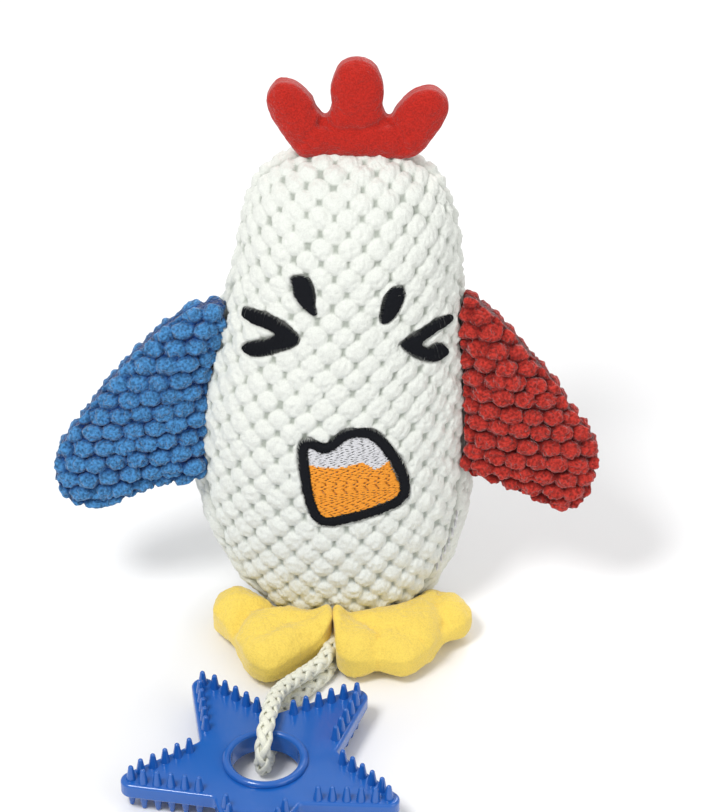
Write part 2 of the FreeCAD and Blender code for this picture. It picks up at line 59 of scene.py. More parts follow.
# Each row: height, half width, half depth and sideways shift, as shares of the body's own sizes.
BODY_SECTIONS = [
    (0.000, 0.465, 0.550, 0.034), (0.042, 0.640, 0.750, 0.034),
    (0.105, 0.800, 0.888, 0.028), (0.220, 0.950, 0.983, 0.013),
    (0.357, 1.000, 1.000, 0.000), (0.493, 0.973, 0.983, 0.004),
    (0.619, 0.884, 0.913, 0.031), (0.756, 0.795, 0.825, 0.054),
    (0.866, 0.741, 0.713, 0.062), (0.945, 0.628, 0.550, 0.058),
    (0.984, 0.460, 0.350, 0.060), (1.000, 0.330, 0.188, 0.064),
    (1.007, 0.270, 0.060, 0.064),
]
SEAM_Y = -22.0
SEAM_Z = 6.0
SEAM_LEAN = math.radians(14.9)
KERNEL_HEIGHT = 2.2

# Each point of the comb's edge, and the point on the comb's own bones that its cloth is drawn out from.
COMB_EDGE = [
    ((-13, 193.5), (-7, 202)), ((-19, 201), (-10, 205)), ((-24, 208.5), (-13.5, 208.5)),
    ((-25.4, 216), (-16.5, 213)), ((-21, 222.2), (-17, 214)), ((-13.5, 222), (-16.5, 213)),
    ((-7, 216.5), (-13.5, 208.5)), ((-4.6, 211.6), (-7, 202)), ((-2.2, 209.4), (5, 201)),
    ((-1, 211), (10, 201)), ((-0.6, 213.5), (10, 206)),
    ((-0.9, 220), (10, 215)), ((2.6, 228.4), (10, 221)),
    ((10, 231.4), (10, 221.5)), ((17.4, 228.4), (10, 221)),
    ((20.8, 220), (10, 215)), ((20.7, 213.5), (10, 206)),
    ((21.2, 211), (10, 201)), ((22.6, 209.4), (15, 201)),
    ((25.6, 213.6), (27, 203)), ((32, 218.8), (33, 207.5)),
    ((39, 220), (36, 210.93)), ((44.8, 216.2), (36.5, 211.5)),
    ((45.8, 210), (33, 207.5)), ((41.6, 202), (27, 203)),
    ((34, 193.5), (21, 202)), ((23, 192.0), (15, 201)),
    ((7.5, 191.5), (10, 201)), ((-5, 192.0), (5, 201)),
]
BLUE_WING_OUTLINE = [
    (-58, 131.5), (-76, 116.6), (-89.5, 101.8), (-100, 88),
    (-107, 78), (-110, 66), (-105.7, 56.5), (-97.5, 53),
    (-86, 54.5), (-72, 60.5), (-51, 66), (-50.5, 80), (-49, 100), (-44.5, 117), (-41.5, 135.5),
]
RED_WING_OUTLINE = [
    (72.5, 122), (86.6, 104.4), (96.5, 89.4), (104.3, 79),
    (104.5, 66), (100.6, 56), (91.8, 50.8), (81.5, 54.8),
    (68, 61.5), (52.2, 68), (52.4, 80), (52, 100), (51, 117), (52.5, 138),
]
LEFT_FOOT_OUTLINE = [
    (-40, -13), (-47, -19), (-48.8, -28.5), (-43.5, -38.5), (-38, -49), (-33.5, -60), (-25, -65.5),
    (-16, -59.5), (-8, -52), (-0.6, -46), (0.1, -33.5), (-12, -27.6), (-23, -23.4), (-35, -13.8),
]
RIGHT_FOOT_OUTLINE = [
    (-0.1, -33.5), (0.2, -46), (1.6, -56), (8.5, -61.5),
    (18, -59.5), (29, -61.5), (38, -54), (45, -43.5),
    (54.5, -36), (57, -27.5), (52, -19), (43.5, -14), (37, -15.6), (31, -21.2), (21, -26), (11, -28.6),
]

# The soft folds of the comb and the feet: the line of each, its depth and its width.
COMB_FOLDS = [
    ([(-4, 207.5), (3, 204.5), (12, 204.5), (22, 207.5)], 1.3, 1.6),
    ([(-5, 206), (-12, 199)], 0.9, 2.0), ([(24, 206), (28, 198)], 1.0, 1.8),
]
LEFT_FOLDS = [
    ([(-22, -28), (-33, -33), (-42, -44)], 3.2, 3.2), ([(-6, -38), (-20, -44), (-28, -50)], 0.9, 3.0),
]
RIGHT_FOLDS = [
    ([(44, -18), (42, -30), (46, -42)], 2.2, 3.4), ([(8, -38), (18, -47), (18, -60)], 1.8, 3.4),
    ([(24, -46), (34, -50), (40, -56)], 0.9, 3.2),
]
# The height of the feet's middle, and how much higher it arches over the rope.
FOOT_MIDDLE = 8.3
FOOT_ARCH = 7.0

BROWS = {
    "brow_left": [
        (-14.9, 158.0), (-8.9, 159.0), (-6.5, 153.7), (-6.3, 149.0),
        (-5.9, 145.2), (-10.3, 147.0), (-13.7, 150.5),
        (-15.0, 154.5),
    ],
    "brow_right": [
        (23.5, 154.7), (27.7, 154.2), (28.1, 150.5), (27.1, 147.6),
        (24.1, 143.2), (19.4, 142.0), (19.4, 147.5),
        (20.8, 151.9),
    ],
}
# Each eye's outline, bent like an arrow.
EYES = {
    "eye_left": [
        (-34.4, 138.0), (-32.8, 140.0), (-24.7, 141.5), (-17.6, 139.9),
        (-12.9, 136.2), (-12.5, 135.0), (-13.7, 132.5),
        (-19.3, 129.0), (-24.9, 125.9), (-30.5, 123.5), (-34.0, 124.0), (-33.6, 126.4), (-29.6, 129.5),
        (-25.6, 131.4), (-22.0, 134.3), (-22.0, 135.0), (-25.5, 135.7), (-30.4, 135.6), (-34.0, 135.9),
    ],
    "eye_right": [
        (45.4, 136.0), (46.6, 132.8), (40.2, 132.0), (35.0, 129.9),
        (37.7, 127.0), (40.3, 127.4), (43.7, 125.2),
        (45.1, 121.2), (43.0, 119.7), (36.9, 122.0), (31.8, 125.8),
        (27.5, 131.0), (27.3, 132.8), (33.4, 135.3),
        (40.2, 137.0),
    ],
}
# How far each piece's stitches are turned from level, in degrees.
BROW_STITCH_SLOPES = {"brow_left": 8, "brow_right": 8}
EYE_STITCH_SLOPES = {"eye_left": 78, "eye_right": 100}
BEAK_OUTLINE = [
    (-10.3, 96.2), (-13.0, 92.1), (-12.7, 83.5), (-10.5, 70.6),
    (-8.1, 62.6), (-2.3, 58.1), (11.1, 60.2), (23.2, 62.7),
    (28.7, 64.8), (30.5, 67.9), (30.2, 76.0), (28.2, 83.8),
    (24.5, 88.9), (20.4, 95.4), (15.4, 99.4), (5.3, 100.0),
    (2.2, 97.4), (-2.5, 93.9), (-7.5, 96.2),
]
BEAK_INSIDE = [
    (-8.6, 92.0), (-3.6, 90.4), (-0.3, 91.2), (4.9, 95.2),
    (8.8, 96.7), (12.6, 96.6), (16.5, 93.8), (20.8, 88.2),
    (24.1, 79.9), (26.6, 73.8), (26.6, 70.2), (24.3, 68.0),
    (17.1, 65.9), (8.7, 64.1), (-1.9, 62.2), (-4.8, 64.4),
    (-6.9, 69.9), (-8.4, 80.9), (-9.0, 87.7),
]
FOAM_LINE = [
    (-12, 84.9), (-8.8, 84.7), (-4.5, 84.0), (2.1, 83.7), (7.5, 84.5),
    (12.1, 85.7), (17.3, 81.8), (22.4, 84.3), (30, 84),
]

ROPE_ROUTE = [
    (0, -31.2, 9.2), (0.4, -42, 9.3), (-2.5, -55.5, 9.4),
    (-13, -67, 10.2), (-20.5, -78, 13), (-23, -91, 17.6),
    (-24.6, -103, 18.8), (-26, -114.6, 16.8), (-26.4, -115.2, 3.05), (-24.3, -103.2, 3.05),
    (-22.4, -90.6, 3.05), (-19.4, -78.4, 3.05), (-11.6, -67.2, 3.05),
    (-1.6, -55.8, 3.05), (0.3, -42, 3.05),
    (0, -28.6, 3.05),
]
STAR_CENTRE = (-25.0, -119.0)
LIP_RADIUS = 14.9
LIP_HALF_WIDTH = 1.55
LIP_HEIGHT = 13.6


# ---------------------------------------------------------------- small number helpers
def scatter(i, j, seed):
    """A repeatable number from 0 to 1 for each pair of whole numbers."""
    return np.modf(np.abs(np.sin(i * 127.1 + j * 311.7 + seed * 74.7) * 43758.5453))[0]


def smooth(low, high, value):
    """0 below low, 1 above high, and an even ease between them."""
    t = np.clip((value - low) / (high - low), 0, 1)
    return t * t * (3 - 2 * t)


def grain(u, v, size, seed):
    """Soft random height from -1 to 1, with features of about that size."""
    x, y = u / size, v / size
    i, j = np.floor(x), np.floor(y)
    fx, fy = smooth(0, 1, x - i), smooth(0, 1, y - j)
    low = scatter(i, j, seed) * (1 - fx) + scatter(i + 1, j, seed) * fx
    high = scatter(i, j + 1, seed) * (1 - fx) + scatter(i + 1, j + 1, seed) * fx
    return (low * (1 - fy) + high * fy) * 2 - 1


def spline_piece(a, b, c, d, t):
    """The smooth curve from b to c that comes from a and goes on to d."""
    return 0.5 * (2 * b + (c - a) * t + (2 * a - 5 * b + 4 * c - d) * t ** 2
                  + (3 * b - a - 3 * c + d) * t ** 3)


def curve_through(points, samples, partners=None):
    """Points spread evenly along a smooth closed curve through the given points.

    Where there are partners, one for each given point, every spread point also gets its place between them.
    """
    p = np.array(points, float)
    padded = np.vstack([p[-1], p, p[0], p[1]])
    t = np.linspace(0, 1, 24, endpoint=False)[:, None]
    pieces = [spline_piece(*padded[k:k + 4], t) for k in range(len(p))]
    dense = np.vstack(pieces + [p[:1]])
    if partners is not None:
        start = np.array(partners, float)
        between = start[:, None] + (np.roll(start, -1, axis=0) - start)[:, None] * t[None]
        dense = np.hstack([dense, np.vstack([between.reshape(-1, 2), start[:1]])])
    return spread_along(dense, samples + 1)[:samples]


def spread_along(line, samples):
    """The line again, with that many points at even spacing."""
    along = np.concatenate([[0], np.cumsum(np.linalg.norm(np.diff(line, axis=0), axis=1))])
    at = np.linspace(0, along[-1], samples)
    return np.stack([np.interp(at, along, line[:, k]) for k in range(line.shape[1])], axis=1)


def distance_to_line(points, line, closed=True):
    """How far each 2-D point is from a line of straight pieces."""
    best = np.full(len(points), 1e9)
    ends = np.roll(line, -1, axis=0) if closed else line[1:]
    starts = line if closed else line[:-1]
    for a, b in zip(starts, ends):
        d = b - a
        t = np.clip(((points - a) @ d) / max(d @ d, 1e-12), 0, 1)
        best = np.minimum(best, np.linalg.norm(points - a - t[:, None] * d, axis=1))
    return best


def inside(points, outline):
    """Whether each 2-D point lies inside a closed outline."""
    found = np.zeros(len(points), bool)
    for (ax, ay), (bx, by) in zip(outline, np.roll(outline, -1, axis=0)):
        if ay == by:
            continue
        crosses = (ay > points[:, 1]) != (by > points[:, 1])
        found ^= crosses & (points[:, 0] < (bx - ax) * (points[:, 1] - ay) / (by - ay) + ax)
    return found


# ---------------------------------------------------------------- mesh helpers
def mesh_object(name, points, faces, shade=None):
    """A mesh object from points in mm. shade is a number for each point that its material can read."""
    mesh = bpy.data.meshes.new(name)
    mesh.from_pydata((np.asarray(points) * MM).tolist(), [], faces)
    mesh.polygons.foreach_set("use_smooth", [True] * len(mesh.polygons))
    if shade is not None:
        layer = mesh.attributes.new("pile", "FLOAT", "POINT")
        layer.data.foreach_set("value", np.asarray(shade, np.float32).ravel())
    mesh.update()
    obj = bpy.data.objects.new(name, mesh)
    bpy.context.scene.collection.objects.link(obj)
    return obj


def grid_faces(rows, columns, closed, flip=False):
    """The four-sided faces of a grid of points kept row after row."""
    j = np.arange(rows - 1)[:, None]
    i = np.arange(columns if closed else columns - 1)[None, :]
    right = (i + 1) % columns
    a, b = j * columns + i, j * columns + right
    c, d = (j + 1) * columns + right, (j + 1) * columns + i
    order = (a, d, c, b) if flip else (a, b, c, d)
    return np.stack(order, axis=-1).reshape(-1, 4).tolist()


def grid_normals(points, closed):
    """Unit normals of a grid of points, from its rows and columns."""
    if closed:
        across = np.roll(points, -1, axis=1) - np.roll(points, 1, axis=1)
    else:
        across = np.gradient(points, axis=1)
    along = np.gradient(points, axis=0)
    n = np.cross(across, along)
    return n / np.maximum(np.linalg.norm(n, axis=-1, keepdims=True), 1e-9)


def kernels(u, v, seed, pitch=11.0, row=5.9, radius=4.85, height=KERNEL_HEIGHT, squat=0.97):
    """Height of the corn-kernel cloth: staggered rows of soft lumps, with u along a row and v across."""
    best = np.zeros_like(u)
    middle = np.round(v / row)
    for step in (-1, 0, 1):
        r = middle + step
        shift = np.mod(r, 2) * pitch / 2
        c = np.round((u - shift) / pitch)
        du = u - shift - c * pitch - 0.9 * (scatter(r, c, seed) - 0.5)
        dv = v - r * row - 0.9 * (scatter(c, r, seed + 3) - 0.5)
        wide = radius * (0.97 + 0.12 * scatter(r, c, seed + 5))
        tall = height * (0.86 + 0.28 * scatter(r, c, seed + 8))
        away = (du / wide) ** 2 + (dv / (wide * squat)) ** 2
        dome = tall * np.clip(1 - away, 0, 1) ** 0.62
        best = np.maximum(best, dome)
    return best


# ---------------------------------------------------------------- the body's surface
def body_table():
    """Fine rows of (height, half width, half depth, middle) in mm, smooth through the sections."""
    rows = [(z * BODY_HEIGHT, w * BODY_HALF_WIDTH, d * BODY_HALF_DEPTH, s * 2 * BODY_HALF_WIDTH)
            for z, w, d, s in BODY_SECTIONS]
    p = np.array(rows)
    padded = np.vstack([2 * p[0] - p[1], p, 2 * p[-1] - p[-2]])
    t = np.linspace(0, 1, 20, endpoint=False)[:, None]
    pieces = [spline_piece(*padded[k:k + 4], t) for k in range(len(p) - 1)]
    return np.vstack(pieces + [p[-1:]])


BODY_ROWS = body_table()


def section_at(z):
    """Half width, half depth and middle of the body at a height."""
    return [np.interp(z, BODY_ROWS[:, 0], BODY_ROWS[:, k]) for k in (1, 2, 3)]


def seam_depth(z):
    """How far back the side seam is at a height."""
    return SEAM_Y + (z - SEAM_Z) * math.tan(SEAM_LEAN)


def front_point(x, z, lift=0.0):
    """The point on the front of the body at that place across and up, lifted off it."""
    half_width, half_depth, middle = section_at(z)
    s = np.clip((x - middle) / half_width, -0.999, 0.999)
    c = np.sqrt(1 - s * s)
    slope_z = 0.5
    above = section_at(z + slope_z)
    s_above = np.clip((x - above[2]) / above[0], -0.999, 0.999)
    y = z * BODY_LEAN - half_depth * c
    y_above = (z + slope_z) * BODY_LEAN - above[1] * np.sqrt(1 - s_above * s_above)
    dy_dx = half_depth / half_width * s / c
    dy_dz = (y_above - y) / slope_z
    normal = np.stack([dy_dx, -np.ones_like(y), dy_dz], axis=-1)
    normal /= np.linalg.norm(normal, axis=-1, keepdims=True)
    return np.stack([x, y, z], axis=-1) + normal * np.asarray(lift)[..., None]


SKIN_INSET = 1.75
EMBROIDERY_LIFT = 0.25
FACE_AREAS = [curve_through(points, 60) for points in [*BROWS.values(), *EYES.values(), BEAK_OUTLINE]]


def clear_of_face(x, z):
    """1 away from the embroidery and 0 under it, so that the kernels lie flat where they are sewn down."""
    points = np.stack([x.ravel(), z.ravel()], axis=1)
    away = np.full(len(points), 1e9)
    for area in FACE_AREAS:
        distance = distance_to_line(points, area)
        away = np.minimum(away, np.where(inside(points, area), 0, distance))
    return smooth(-0.3, 0.9, away).reshape(x.shape)


def seam_groove(distance):
    """How far the cloth pulls in near a seam."""
    return 1.6 * np.exp(-(distance / 2.2) ** 2)


def make_body_skin(name, front, rows, columns, seed):
    """The front or back panel of the body: kernel cloth from seam to seam."""
    z_fine, half_width, half_depth, middle = BODY_ROWS.T
    face = -1 if front else 1
    crest = np.stack([middle * 0, z_fine * BODY_LEAN + face * half_depth, z_fine], axis=1)
    length = np.concatenate([[0], np.cumsum(np.linalg.norm(np.diff(crest, axis=0), axis=1))])
    v = np.linspace(0, length[-1], rows)
    z = np.interp(v, length, z_fine)
    a, b, mid = [np.interp(v, length, k) for k in (half_width, half_depth, middle)]
    to_seam = (z * BODY_LEAN - seam_depth(z)) / b
    half_angle = np.arccos(np.clip(to_seam, -1, 1))
    if not front:
        half_angle = math.pi - half_angle
    fine = np.linspace(-1, 1, 241)[None, :] * half_angle[:, None]
    ring_x = np.sin(fine) * a[:, None]
    ring_y = face * np.cos(fine) * b[:, None]
    step = np.hypot(np.diff(ring_x, axis=1), np.diff(ring_y, axis=1))
    along = np.concatenate([np.zeros((rows, 1)), np.cumsum(step, axis=1)], axis=1)
    angle, u = np.zeros((rows, columns)), np.zeros((rows, columns))
    for k in range(rows):
        places = np.linspace(0, along[k, -1], columns)
        angle[k] = np.interp(places, along[k], fine[k])
        u[k] = places - along[k, -1] / 2
    x = mid[:, None] + np.sin(angle) * a[:, None]
    y = (z * BODY_LEAN)[:, None] + face * np.cos(angle) * b[:, None]
    height = np.repeat(z[:, None], columns, axis=1)
    points = np.stack([x, y, height], axis=-1)
    normals = grid_normals(points, closed=False) * (1 if front else -1)
    v_grid = np.repeat(v[:, None], columns, axis=1)
    bumps = kernels(u, v_grid, seed)
    from_edge = np.minimum(u - u[:, :1], u[:, -1:] - u)
    edge = smooth(0.0, 3.5, from_edge)
    floor_flat = smooth(-2.0, 10.0, height)
    keep = edge * (0.35 + 0.65 * floor_flat)
    if front:
        clear = clear_of_face(x, height)
        keep = keep * clear
    pile = bumps / KERNEL_HEIGHT
    lump = bumps * keep
    fuzz = 0.36 * grain(u, v_grid, 1.9, seed) + 0.34 * grain(u, v_grid, 1.05, seed + 4)
    lump += fuzz * smooth(0.1, 1.0, bumps) * keep
    lump += 0.18 * grain(u, v_grid, 0.7, seed + 1)
    lump += 0.35 * grain(u, v_grid, 21.0, seed + 2) + 0.55
    lump -= SKIN_INSET + seam_groove(from_edge)
    if front:
        lump -= 0.5 * (1 - clear)
    points = points + normals * lump[..., None]
    points[..., 2] = np.maximum(points[..., 2], 0.15)
    # Painted shade: the colour value is lowest in the gaps between kernels and falls off near the seams,
    # where shade would lie.
    shade = np.clip(pile * edge * 1.05 + 0.02, 0, 1)
    return mesh_object(name, points.reshape(-1, 3), grid_faces(rows, columns, False, flip=not front), shade)


def make_body_base():
    """The flat patch that the toy sits on, inside the lower edges of both panels."""
    z, half_width, half_depth, middle = BODY_ROWS[0]
    rings, columns = 14, 120
    share = np.linspace(0.02, 1.0, rings)[:, None]
    angle = np.linspace(0, 2 * math.pi, columns, endpoint=False)[None, :]
    x = middle + half_width * share * np.cos(angle)
    y = half_depth * share * np.sin(angle)
    height = np.full_like(x, 0.3)
    points = np.stack([x, y, height], axis=-1).reshape(-1, 3)
    shade = np.full(len(points), 0.4)
    return mesh_object("body_base_patch", points, grid_faces(rings, columns, True), shade)


# ---------------------------------------------------------------- pillow-like limbs
def on_seam_plane(p, q, h):
    """A point from its place across and up on the seam plane and its height in front of the plane."""
    normal = np.array([0, -math.cos(SEAM_LEAN), math.sin(SEAM_LEAN)])
    up = np.array([0, math.sin(SEAM_LEAN), math.cos(SEAM_LEAN)])
    start = np.array([0, SEAM_Y, SEAM_Z])
    across = np.array([1.0, 0, 0])
    return start + p[..., None] * across + q[..., None] * up + h[..., None] * normal


def seam_outline(points):
    """Outline points given across and up, as places on the seam plane."""
    return [(x, (z - SEAM_Z) / math.cos(SEAM_LEAN)) for x, z in points]


def pillow_side(outline, hubs, half_thickness, round_width, columns, rings):
    """One side of a stuffed shape: places in its plane, heights, and places on the cloth laid flat."""
    paired = curve_through(outline, columns, hubs)
    rim, hub = paired[:, :2], paired[:, 2:]
    spokes = rim - hub
    share = 1 - (1 - np.linspace(0, 1, 141)) ** 2.2
    places = hub + share[:, None, None] * spokes[None]
    away = distance_to_line(places.reshape(-1, 2), rim).reshape(places.shape[:2])
    away[-1] = 0
    crown = np.sqrt(1 - (1 - np.clip(away / round_width, 0, 1)) ** 2)
    height = half_thickness * crown
    step = np.hypot(np.linalg.norm(np.diff(places, axis=0), axis=-1), np.diff(height, axis=0))
    along = np.concatenate([np.zeros((1, columns)), np.cumsum(step, axis=0)])
    flat = np.zeros((rings, columns, 2))
    up = np.zeros((rings, columns))
    laid = np.zeros((rings, columns, 2))
    edge = np.zeros((rings, columns))
    for k in range(columns):
        at = np.linspace(0.0, along[-1, k], rings)
        for axis in (0, 1):
            flat[:, k, axis] = np.interp(at, along[:, k], places[:, k, axis])
        up[:, k] = np.interp(at, along[:, k], height[:, k])
        laid[:, k] = at[:, None] * spokes[k] / np.linalg.norm(spokes[k])
        edge[:, k] = np.interp(at, along[:, k], away[:, k] + half_thickness * crown[:, k] ** 2 * 0.8)
    return flat, up, laid, edge


def make_panel(name, outline, hubs, thickness, round_width, side, place, finish, columns=380, rings=90):
    """One cloth panel of a stuffed limb. finish gives its extra height and shade from the cloth's places."""
    flat, up, laid, edge = pillow_side(outline, hubs, thickness / 2, round_width, columns, rings)
    points = place(flat[..., 0], flat[..., 1], side * up)
    normals = grid_normals(points, closed=True)
    zero = np.array(0.0)
    facing = place(zero, zero, zero + 1) - place(zero, zero, zero)
    middle = normals[2:rings // 2].reshape(-1, 3).mean(axis=0)
    turned = 1 if middle @ facing * side > 0 else -1
    normals = normals * turned
    normals[0] = facing * side
    lump, shade = finish(laid[..., 0], laid[..., 1], flat, edge)
    lump = lump - 0.9 * np.exp(-(edge / 1.6) ** 2)
    points = points + normals * lump[..., None]
    flip = turned < 0
    return mesh_object(name, points.reshape(-1, 3), grid_faces(rings, columns, True, flip=flip), shade)


def kernel_finish(angle, seed, pitch, row, radius, height, squat):
    """Kernel cloth, with its rows turned by that many degrees."""
    c, s = math.cos(math.radians(angle)), math.sin(math.radians(angle))

    def finish(u, v, flat, edge):
        along, across = u * c + v * s, v * c - u * s
        bumps = kernels(along, across, seed, pitch, row, radius, height, squat)
        keep = smooth(0.0, 2.5, edge)
        curls = 0.75 * grain(u, v, 2.2, seed) + 0.75 * grain(u, v, 1.2, seed + 4)
        lump = (bumps + curls * smooth(0.2, 1.4, bumps)) * keep
        lump += 0.12 * grain(u, v, 0.8, seed + 1) + 0.6 * grain(u, v, 17.0, seed + 2)
        # Painted shade: the colour value is low in the gaps between kernels and near the sewn edge, and
        # lower where the curls dip, with some random tone.
        return lump, np.clip((bumps / height) ** 1.5 * (0.8 + 0.3 * curls) * keep, 0, 1)

    return finish


def plush_finish(seed, folds=()):
    """Short pile with soft hollows and the given fold lines, each (line, depth, width), with painted shade
    along the folds.
    """

    def finish(u, v, flat, edge):
        x, y = flat[..., 0], flat[..., 1]
        lump = 0.8 * grain(x, y, 13.0, seed) + 0.4 * grain(x, y, 6.0, seed + 1)
        lump += 0.20 * grain(x, y, 1.9, seed + 2) + 0.16 * grain(x, y, 1.0, seed + 3)
        shade = 0.9 + 0.1 * grain(x, y, 3.0, seed + 4)
        points = flat.reshape(-1, 2)
        for line, depth, width in folds:
            away = distance_to_line(points, np.array(line, float), closed=False).reshape(x.shape)
            dip = np.exp(-(away / width) ** 2)
            lump = lump - depth * dip
            # Painted shade: each fold is drawn darker, on top of the random tone.
            shade = shade - 0.4 * dip
        return lump * smooth(0.0, 4.0, edge), np.clip(shade, 0, 1)

    return finish


# ---------------------------------------------------------------- thread work
def tubes(name, lines, radii, sides=5, flatten=1.0, ups=None):
    """Thin threads along lines of points, all in one mesh. Each thread has the radii of its own points."""
    points, faces = [], []
    first = 0
    turn = np.linspace(0, 2 * math.pi, sides, endpoint=False)
    for number, (line, radius) in enumerate(zip(lines, radii)):
        along = np.gradient(line, axis=0)
        along /= np.maximum(np.linalg.norm(along, axis=1, keepdims=True), 1e-9)
        guide = np.array([[0.0, -0.95, 0.3]]) if ups is None else ups[number]
        side = np.cross(along, guide)
        side /= np.maximum(np.linalg.norm(side, axis=1, keepdims=True), 1e-9)
        up = np.cross(side, along)
        out = (np.cos(turn)[None, :, None] * side[:, None]
               + flatten * np.sin(turn)[None, :, None] * up[:, None])
        ring = line[:, None] + radius[:, None, None] * out
        points.append(ring.reshape(-1, 3))
        faces += [[first + k for k in face] for face in grid_faces(len(line), sides, True)]
        count = len(line) * sides
        faces += [[first + k for k in range(sides)], [first + count - 1 - k for k in range(sides)]]
        first += count
    return mesh_object(name, np.vstack(points), faces)


THREAD = 0.42
STITCH_DIP = 0.75
WHOLE_WIDTH = 1000


def stitch(a, b, lift, arch, radius=THREAD * 0.66, steps=7):
    """One stitch across the front of the body from a to b: its points and radii."""
    t = np.linspace(0, 1, steps)
    x, z = a[0] + (b[0] - a[0]) * t, a[1] + (b[1] - a[1]) * t
    bow = np.sqrt(np.clip(1 - (2 * t - 1) ** 4, 0, 1))
    ends = np.clip(np.minimum(t, 1 - t) * 12, 0.35, 1)
    return front_point(x, z, lift - STITCH_DIP + (STITCH_DIP + arch) * bow), radius * ends


def satin_ring(path, width, lift, seed, arch=0.35):
    """Stitches side by side across a closed stroke of one width, with slightly ragged ends."""
    ring = np.vstack([path, path[:1]])
    count = int(np.linalg.norm(np.diff(ring, axis=0), axis=1).sum() / THREAD)
    line = spread_along(ring, count + 1)[:-1]
    slope = np.roll(line, -3, axis=0) - np.roll(line, 3, axis=0)
    slope /= np.maximum(np.linalg.norm(slope, axis=1, keepdims=True), 1e-9)
    across = np.stack([-slope[:, 1], slope[:, 0]], axis=1) * width
    made = []
    for k in range(count):
        left = 0.5 + 0.17 * (scatter(k, 1, seed) - 0.5)
        right = 0.5 + 0.17 * (scatter(k, 2, seed) - 0.5)
        made.append(stitch(line[k] - across[k] * left, line[k] + across[k] * right,
                           lift + 0.12 * scatter(k, 3, seed), arch))
    return made


def fill_stitches(outline, turn, lift, seed, longest=4.2, arch=0.12, ragged=0.5):
    """Rows of stitches that fill an outline, turned by that many degrees from level."""
    c, s = math.cos(math.radians(turn)), math.sin(math.radians(turn))
    there = np.array([[c, s], [-s, c]])
    p = np.array(outline) @ there.T
    made = []
    rows = np.arange(p[:, 1].min() + THREAD / 2, p[:, 1].max(), THREAD)
    for number, level in enumerate(rows):
        crossings = []
        for a, b in zip(p, np.roll(p, -1, axis=0)):
            if (a[1] > level) != (b[1] > level):
                crossings.append(a[0] + (b[0] - a[0]) * (level - a[1]) / (b[1] - a[1]))
        crossings.sort()
        for low, high in zip(crossings[::2], crossings[1::2]):
            low -= ragged * scatter(number, 1, seed)
            high += ragged * scatter(number, 2, seed)
            start = low - longest * scatter(number, 3, seed)
            while start < high:
                a, b = max(low, start), min(high, start + longest)
                if b - a > 0.8:
                    ends = np.array([[a, level], [b, level]]) @ there
                    made.append(stitch(ends[0], ends[1], lift + 0.15 * scatter(number, a, seed), arch))
                start += longest
    return made


def thread_piece(name, made, node, material):
    """A piece of thread work that stands for a CAD node on the body."""
    obj = tubes(name, [line for line, _ in made], [radius for _, radius in made])
    dress(obj, material)
    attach(obj, "body")
    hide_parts(node)
    return obj


def make_face():
    """The brows, eyes and beak, all in thread."""
    black, white, orange = MATERIALS["black_thread"], MATERIALS["white_thread"], MATERIALS["orange_thread"]
    lift, fill_lift = EMBROIDERY_LIFT, EMBROIDERY_LIFT - 0.55
    for shapes, samples, slopes, first_seed in (
            (BROWS, 50, BROW_STITCH_SLOPES, 20), (EYES, 90, EYE_STITCH_SLOPES, 30)):
        for number, (name, points) in enumerate(shapes.items()):
            made = fill_stitches(curve_through(points, samples), slopes[name], lift, first_seed + number,
                                 longest=WHOLE_WIDTH, arch=0.5)
            thread_piece(name + "_stitches", made, name, black)
    outer, inner = curve_through(BEAK_OUTLINE, 240), curve_through(BEAK_INSIDE, 240)
    ring, wide = [], []
    for point in outer:
        away = np.linalg.norm(inner - point, axis=1)
        near = inner[np.argmin(away)]
        ring.append((point + near) / 2)
        wide.append(away.min())
    made = satin_ring(np.array(ring), np.mean(wide) * 1.02, lift, 40)
    thread_piece("beak_outline_stitches", made, "beak_outline", black)
    foam_line = np.array(FOAM_LINE, float)
    level = np.interp(inner[:, 0], foam_line[:, 0], foam_line[:, 1])
    below = np.stack([inner[:, 0], np.minimum(inner[:, 1], level + 0.4)], axis=1)
    above = np.stack([inner[:, 0], np.maximum(inner[:, 1], level)], axis=1)
    thread_piece("beak_orange_stitches", fill_stitches(below, 4, fill_lift, 41), "beak_orange_fill",
                 orange)
    thread_piece("beak_white_stitches", fill_stitches(above, 4, fill_lift, 42), "beak_white_fill",
                 white)


# ---------------------------------------------------------------- the rope
def rope_line():
    """The rope's own line in mm, from a NURBS curve through the route that part.py uses."""
    data = bpy.data.curves.new("rope_route", "CURVE")
    data.dimensions = "3D"
    data.resolution_u = 24
    spline = data.splines.new("NURBS")
    spline.points.add(len(ROPE_ROUTE) - 1)
    for point, place in zip(spline.points, ROPE_ROUTE):
        point.co = (place[0] * MM, place[1] * MM, place[2] * MM, 1.0)
    spline.order_u = 3
    spline.use_endpoint_u = True
    holder = bpy.data.objects.new("rope_route", data)
    mesh = bpy.data.meshes.new_from_object(holder)
    line = np.array([v.co for v in mesh.vertices], float)
    bpy.data.meshes.remove(mesh)
    bpy.data.objects.remove(holder)
    return line / MM


def carried_frames(line):
    """Two directions square to a line, carried along it without twisting."""
    along = np.gradient(line, axis=0)
    along /= np.linalg.norm(along, axis=1, keepdims=True)
    side = np.cross(along[0], [0.0, 0.2, 1.0])
    sides = []
    for direction in along:
        side = side - direction * (side @ direction)
        side = side / np.linalg.norm(side)
        sides.append(side)
    sides = np.array(sides)
    return sides, np.cross(along, sides)


